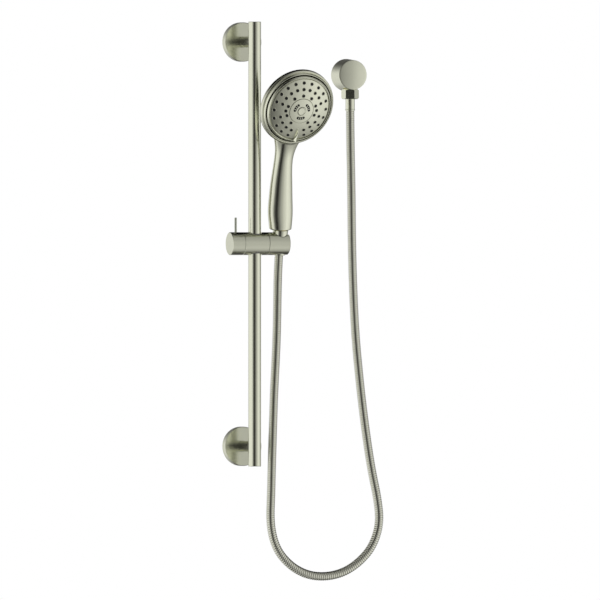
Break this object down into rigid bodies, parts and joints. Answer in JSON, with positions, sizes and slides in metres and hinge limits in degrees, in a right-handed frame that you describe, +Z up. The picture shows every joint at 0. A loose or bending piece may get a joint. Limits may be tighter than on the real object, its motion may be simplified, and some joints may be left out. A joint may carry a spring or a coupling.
{
  "type": "hand shower set",
  "caption": "Hand shower on a vertical wall rail: round multi-spray handset in a sliding, tilting holder, with a flexible metal hose looping to a round wall outlet.",
  "frame": {"origin": "on the wall, at the centre of the lower wall plate's back face", "axes": "+Z up along the rail, +Y into the wall, -Y out into the room, +X to the right seen from the room"},
  "size_m": [0.2727, 0.1656, 0.8812],
  "materials": {
    "brushed_nickel": "brushed nickel",
    "satin_cap": "satin nickel, faced flat",
    "nickel_pin": "turned nickel pin",
    "nickel_fitting": "nickel-plated brass, lightly brushed",
    "hose_armour": "interlocked steel strip",
    "brass": "machined",
    "steel": "plain",
    "black_rubber": "matt",
    "nozzle_rubber": "matt, moulded",
    "grey_plastic": "moulded acetal",
    "plated_shell": "nickel plating on plastic, brushed",
    "satin_face": "satin nickel plating on plastic",
    "plated_ring": "nickel plating on plastic"
  },
  "bodies": {
    "wall_set": {"rail_tube": "brushed_nickel", "lower_rail_cap": "brushed_nickel", "upper_rail_cap": "brushed_nickel", "lower_rail_insert": "brass", "upper_rail_insert": "brass", "lower_post": "brushed_nickel", "upper_post": "brushed_nickel", "rail_screws": "steel", "lower_wall_plate": "steel", "upper_wall_plate": "steel", "grub_screws": "steel", "lower_flange": "brushed_nickel", "upper_flange": "brushed_nickel", "outlet_body": "brushed_nickel", "outlet_elbow": "brass", "outlet_gasket": "black_rubber", "hose_hex_nut": "nickel_fitting", "hose_wall_washer": "black_rubber", "hose_wall_insert": "brass", "hose_wall_ferrule": "nickel_fitting", "hose_loop": "hose_armour"},
    "slide_bush": {"slider_liner": "grey_plastic", "hose_low_drop": "hose_armour"},
    "slider": {"slider_body": "brushed_nickel", "lock_bush": "brass", "pivot_bolt": "steel", "pivot_washer": "steel", "tilt_friction_ring": "grey_plastic", "hose_mid_drop": "hose_armour"},
    "shoe": {"clamp_shoe": "brass"},
    "knob": {"lock_knob": "brushed_nickel", "knob_cap": "satin_cap", "lever_pin": "nickel_pin", "clamp_screw": "brass", "knob_screw": "steel"},
    "holder": {"holder_body": "brushed_nickel", "holder_insert": "grey_plastic"},
    "hose_end": {"hose_handset_insert": "brass", "hose_handset_ferrule": "nickel_fitting", "hose_top_drop": "hose_armour"},
    "handset": {"cone_nut": "nickel_fitting", "handset_washer": "black_rubber", "inlet_screen": "steel", "flow_restrictor": "grey_plastic", "inlet_nipple": "brass", "handset_shell": "plated_shell", "water_tube": "grey_plastic", "diverter_base": "grey_plastic", "diverter_seal": "black_rubber", "face_screw": "steel"},
    "spray_face": {"face_plate": "satin_face", "nozzle_mat": "nozzle_rubber", "face_ring": "plated_ring", "centre_disc": "satin_face", "centre_button": "plated_ring"}
  },
  "joints": [
    {"name": "slider_slide", "type": "slide", "parent": "wall_set", "child": "slide_bush", "axis": [0, 0, 1], "range_m": [-0.29, 0.28], "deforming": ["hose_loop", "hose_low_drop", "hose_mid_drop", "hose_top_drop"]},
    {"name": "slider_swivel", "type": "hinge", "parent": "slide_bush", "child": "slider", "pos_m": [0, -0.063, 0.3194], "axis": [0, 0, 1], "range_deg": [-40, 40]},
    {"name": "lock_lever", "type": "hinge", "parent": "slider", "child": "knob", "pos_m": [-0.032, -0.063, 0.3194], "axis": [1, 0, 0], "range_deg": [0, 90]},
    {"name": "clamp_draw", "type": "slide", "parent": "slider", "child": "shoe", "axis": [-1, 0, 0], "range_m": [0, 0.0004]},
    {"name": "holder_tilt", "type": "hinge", "parent": "slider", "child": "holder", "pos_m": [0.022, -0.063, 0.3194], "axis": [1, 0, 0], "range_deg": [-5, 25]},
    {"name": "handset_lift", "type": "slide", "parent": "holder", "child": "hose_end", "axis": [0, -0.1908, 0.9816], "range_m": [0, 0.06]},
    {"name": "handset_swivel", "type": "hinge", "parent": "hose_end", "child": "handset", "pos_m": [0.0419, -0.063, 0.3194], "axis": [0, -0.1908, 0.9816], "range_deg": [-20, 20]},
    {"name": "spray_selector", "type": "hinge", "parent": "handset", "child": "spray_face", "pos_m": [0.0456, -0.14319, 0.53058], "axis": [0.0939, -0.9195, -0.3818], "range_deg": [-36, 36]}
  ],
  "couplings": [
    {"joint": "clamp_draw", "follows": "lock_lever", "m_per_rad": 0.00023873}
  ]
}
